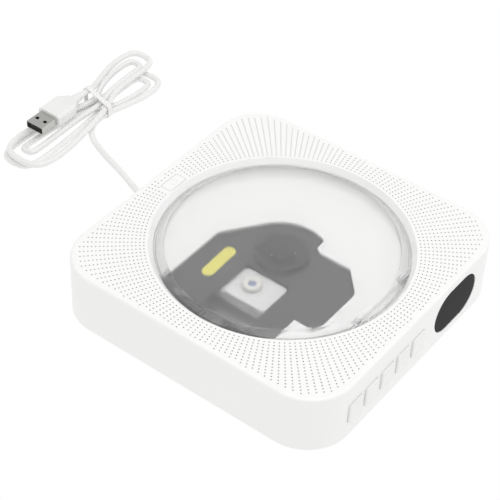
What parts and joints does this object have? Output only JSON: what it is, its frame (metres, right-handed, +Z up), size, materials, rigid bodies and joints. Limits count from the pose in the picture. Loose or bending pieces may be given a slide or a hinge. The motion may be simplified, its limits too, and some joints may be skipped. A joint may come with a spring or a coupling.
{
  "type": "dvd player",
  "caption": "Square white disc player with clear hinged lid, top speaker grille, oval front window, push keys, disc spindle, sliding pickup and a tied USB lead",
  "frame": {"origin": "spindle axis at the feet's bottom plane, centre of the housing", "axes": "+Z up along the spindle, -Y towards the front wall with the keys and the window, +X to the right"},
  "size_m": [0.1966, 0.2783, 0.0355],
  "materials": {
    "white_abs": "satin white moulded ABS",
    "clear_lid": "clear moulded polystyrene, frosted on the flat top",
    "black_window": "black gloss window",
    "deck_grey": "dark grey moulded",
    "black_plastic": "black moulded",
    "hub_black": "black moulded",
    "label_yellow": "bare yellow sticker",
    "foot_rubber": "rubber",
    "steel_screw": "zinc plated",
    "chrome_steel": "polished steel",
    "motor_steel": "plated steel can",
    "socket_metal": "plated steel",
    "plug_metal": "nickel plated",
    "board": "green lacquered board",
    "chip": "moulded epoxy and capacitors",
    "display": "display glass and frame",
    "switch_plastic": "acetal",
    "gear_white": "acetal",
    "speaker_paper": "pressed paper cone",
    "lens_glass": "coated lens",
    "cord_white": "white soft PVC",
    "tie_white": "white plastic tie"
  },
  "bodies": {
    "housing": {"top_shell": "white_abs", "base_plate": "white_abs", "feet": "foot_rubber", "case_screws": "steel_screw", "window": "black_window", "display_module": "display", "ir_receiver": "black_window", "key_board": "board", "key_switches": "switch_plastic", "main_board": "board", "board_parts": "chip", "av_jack": "black_plastic", "hdmi_socket": "socket_metal", "power_switch": "socket_metal", "speaker_left_frame": "black_plastic", "speaker_left_cone": "speaker_paper", "speaker_left_magnet": "motor_steel", "speaker_right_frame": "black_plastic", "speaker_right_cone": "speaker_paper", "speaker_right_magnet": "motor_steel", "deck_chassis": "deck_grey", "deck_dampers": "foot_rubber", "deck_screws": "steel_screw", "deck_label": "label_yellow", "spindle_motor": "motor_steel", "gear_pin": "motor_steel", "sled_motor": "motor_steel", "guide_rods": "chrome_steel", "release_springs": "chrome_steel", "cord_grommet": "cord_white", "cord_lead": "cord_white", "cord_hank": "cord_white", "cord_tie": "tie_white", "usb_overmould": "cord_white", "usb_shell": "plug_metal", "usb_tongue": "black_plastic"},
    "lid": {"lid": "clear_lid", "hinge_pins": "chrome_steel"},
    "tab": {"release_tab": "white_abs"},
    "latch": {"latch": "switch_plastic"},
    "key_1": {"key_1": "white_abs"},
    "key_2": {"key_2": "white_abs"},
    "key_3": {"key_3": "white_abs"},
    "key_4": {"key_4": "white_abs"},
    "key_5": {"key_5": "white_abs"},
    "disc_drive": {"turntable": "hub_black", "turntable_pad": "foot_rubber"},
    "ball_1": {"chuck_ball_1": "chrome_steel"},
    "ball_2": {"chuck_ball_2": "chrome_steel"},
    "ball_3": {"chuck_ball_3": "chrome_steel"},
    "sled": {"pickup_sled": "black_plastic"},
    "lens": {"lens_holder": "black_plastic", "lens": "lens_glass"},
    "double_gear": {"double_gear": "gear_white"},
    "pinion": {"motor_pinion": "gear_white"},
    "switch": {"switch_knob": "black_plastic"}
  },
  "joints": [
    {"name": "lid_hinge", "type": "hinge", "parent": "housing", "child": "lid", "pos_m": [0, -0.0599, 0.032], "axis": [1, 0, 0], "range_deg": [0, 80]},
    {"name": "tab_press", "type": "slide", "parent": "housing", "child": "tab", "axis": [0, 0, -1], "range_m": [0, 0.0012], "stiffness_N_per_m": 400, "springref_m": -0.001, "deforming": ["release_springs"]},
    {"name": "latch_slide", "type": "slide", "parent": "housing", "child": "latch", "axis": [0, 1, 0], "range_m": [0, 0.0012]},
    {"name": "key_1_press", "type": "slide", "parent": "housing", "child": "key_1", "axis": [0, 1, 0], "range_m": [0, 0.0008], "stiffness_N_per_m": 600, "springref_m": -0.0005},
    {"name": "key_2_press", "type": "slide", "parent": "housing", "child": "key_2", "axis": [0, 1, 0], "range_m": [0, 0.0008], "stiffness_N_per_m": 600, "springref_m": -0.0005},
    {"name": "key_3_press", "type": "slide", "parent": "housing", "child": "key_3", "axis": [0, 1, 0], "range_m": [0, 0.0008], "stiffness_N_per_m": 600, "springref_m": -0.0005},
    {"name": "key_4_press", "type": "slide", "parent": "housing", "child": "key_4", "axis": [0, 1, 0], "range_m": [0, 0.0008], "stiffness_N_per_m": 600, "springref_m": -0.0005},
    {"name": "key_5_press", "type": "slide", "parent": "housing", "child": "key_5", "axis": [0, 1, 0], "range_m": [0, 0.0008], "stiffness_N_per_m": 600, "springref_m": -0.0005},
    {"name": "turntable_spin", "type": "hinge", "parent": "housing", "child": "disc_drive", "pos_m": [0, 0, 0.0295], "axis": [0, 0, 1], "continuous": true},
    {"name": "ball_1_slide", "type": "slide", "parent": "disc_drive", "child": "ball_1", "axis": [-0.7071, -0.7071, 0], "range_m": [0, 0.0005], "stiffness_N_per_m": 200, "springref_m": -0.0003},
    {"name": "ball_2_slide", "type": "slide", "parent": "disc_drive", "child": "ball_2", "axis": [0.9659, -0.2588, 0], "range_m": [0, 0.0005], "stiffness_N_per_m": 200, "springref_m": -0.0003},
    {"name": "ball_3_slide", "type": "slide", "parent": "disc_drive", "child": "ball_3", "axis": [-0.2588, 0.9659, 0], "range_m": [0, 0.0005], "stiffness_N_per_m": 200, "springref_m": -0.0003},
    {"name": "sled_slide", "type": "slide", "parent": "housing", "child": "sled", "axis": [-1, 0, 0], "range_m": [0, 0.033]},
    {"name": "double_gear_spin", "type": "hinge", "parent": "housing", "child": "double_gear", "pos_m": [-0.04, -0.02895, 0.016], "axis": [0, 0, 1], "range_deg": [-5, 546]},
    {"name": "pinion_spin", "type": "hinge", "parent": "housing", "child": "pinion", "pos_m": [-0.04673, -0.0406, 0.015], "axis": [0, 0, 1], "range_deg": [-2032, 5]},
    {"name": "lens_focus", "type": "slide", "parent": "sled", "child": "lens", "axis": [0, 0, 1], "range_m": [-0.0005, 0.0005], "stiffness_N_per_m": 40},
    {"name": "power_switch_slide", "type": "slide", "parent": "housing", "child": "switch", "axis": [1, 0, 0], "range_m": [0, 0.004]}
  ],
  "couplings": [
    {"joint": "latch_slide", "follows": "tab_press", "ratio": 1},
    {"joint": "double_gear_spin", "follows": "sled_slide", "rad_per_m": 285.71},
    {"joint": "pinion_spin", "follows": "sled_slide", "rad_per_m": -1071.4}
  ]
}
